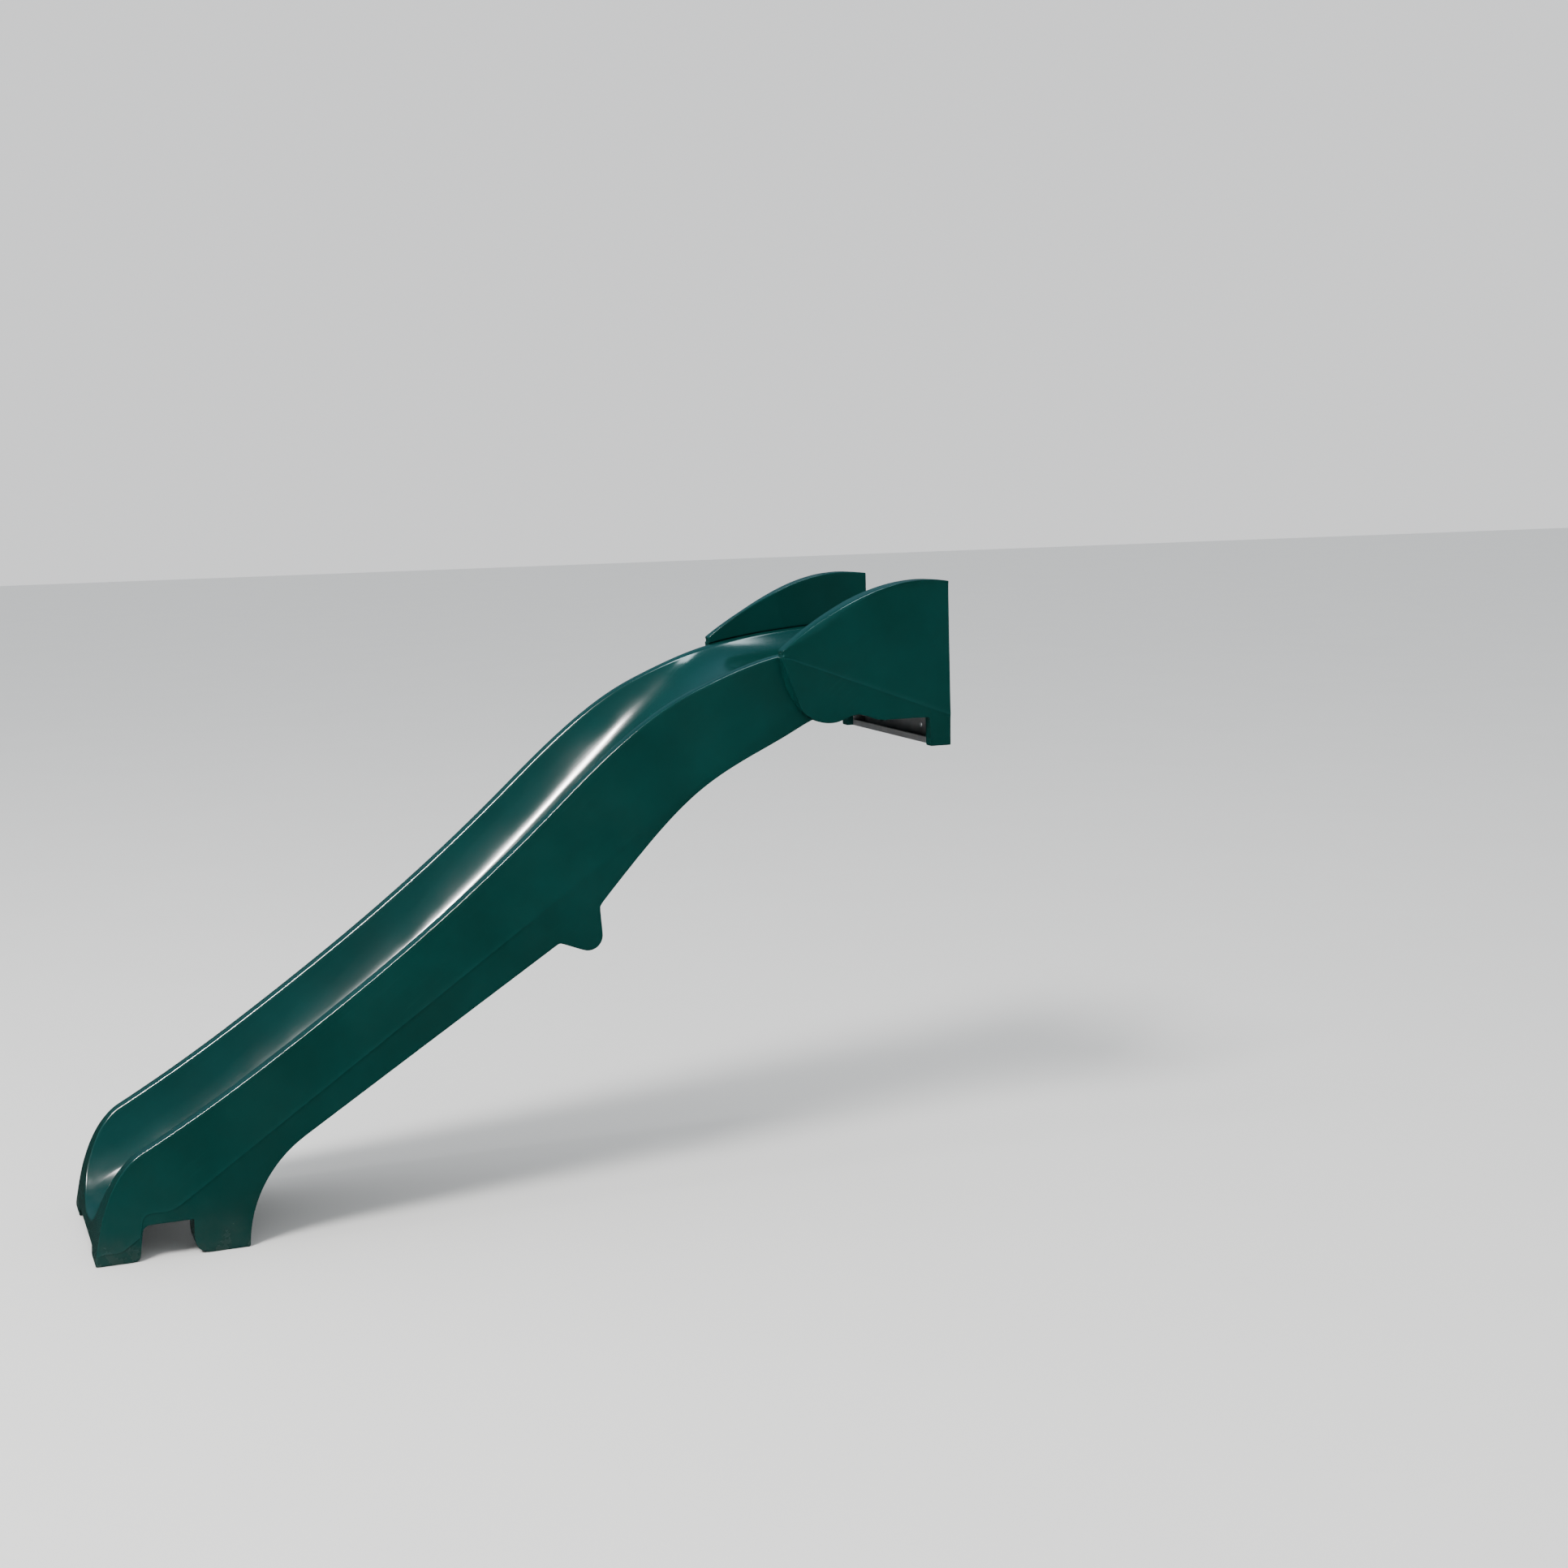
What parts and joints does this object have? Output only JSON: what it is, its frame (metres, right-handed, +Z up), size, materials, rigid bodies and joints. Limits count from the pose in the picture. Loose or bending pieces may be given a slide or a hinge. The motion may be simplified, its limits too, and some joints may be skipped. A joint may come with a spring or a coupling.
{
  "type": "wave slide",
  "caption": "Straight wave slide: a hollow moulded chute on a notched foot, with curved side guards at the top and a steel cross bracket that bolts to a play deck.",
  "frame": {"origin": "on the ground under the middle of the slide's box", "axes": "+X from the foot towards the deck, +Y across the slide to the rider's right, +Z up"},
  "size_m": [1.808, 0.5, 1.258],
  "materials": {
    "moulded_green": "glossy rotomoulded polyethylene, dark teal green",
    "coated_steel": "dark grey powder coat",
    "zinc_steel": "bright zinc plate",
    "insert_brass": "machined",
    "plug_black": "matt"
  },
  "bodies": {
    "root": {"chute": "moulded_green", "left_guard": "moulded_green", "right_guard": "moulded_green", "hanger_bracket": "coated_steel", "hanger_gussets": "coated_steel", "hanger_end_plates": "coated_steel", "seat_bolts": "zinc_steel", "seat_washers": "zinc_steel", "seat_inserts": "insert_brass", "guard_bolts": "zinc_steel", "guard_washers": "zinc_steel", "guard_inserts": "insert_brass", "tab_bolts": "zinc_steel", "tab_washers": "zinc_steel", "tab_inserts": "insert_brass", "vent_plugs": "plug_black"}
  },
  "joints": []
}
